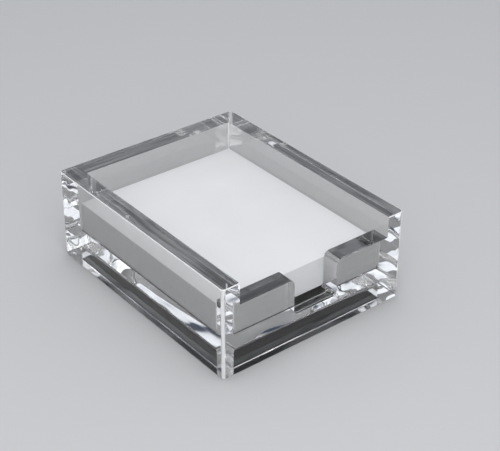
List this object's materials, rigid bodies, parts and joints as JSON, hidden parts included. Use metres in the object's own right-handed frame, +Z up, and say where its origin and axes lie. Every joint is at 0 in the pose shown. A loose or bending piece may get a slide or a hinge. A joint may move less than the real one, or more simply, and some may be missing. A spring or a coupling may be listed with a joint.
{
  "type": "memo pad holder",
  "caption": "Thick clear desk tray for loose notes, with a low front wall parted by a finger notch, a hollow underside and a stack of white sheets that lifts out.",
  "frame": {"origin": "centre of the foot of the holder, on the desk", "axes": "+X to the right as the user faces the open front, +Y from the open front to the back wall, +Z up"},
  "size_m": [0.102, 0.1264, 0.046],
  "materials": {
    "clear_acrylic": "gloss",
    "note_paper": "matte"
  },
  "bodies": {
    "holder": {"holder_body": "clear_acrylic"},
    "notes": {"note_stack": "note_paper"},
    "top_note": {"top_sheet": "note_paper"}
  },
  "joints": [
    {"name": "note_stack_lift", "type": "slide", "parent": "holder", "child": "notes", "axis": [0, 0, 1], "range_m": [0, 0.036]},
    {"name": "top_sheet_lift", "type": "slide", "parent": "notes", "child": "top_note", "axis": [0, 0, 1], "range_m": [0, 0.02]}
  ]
}
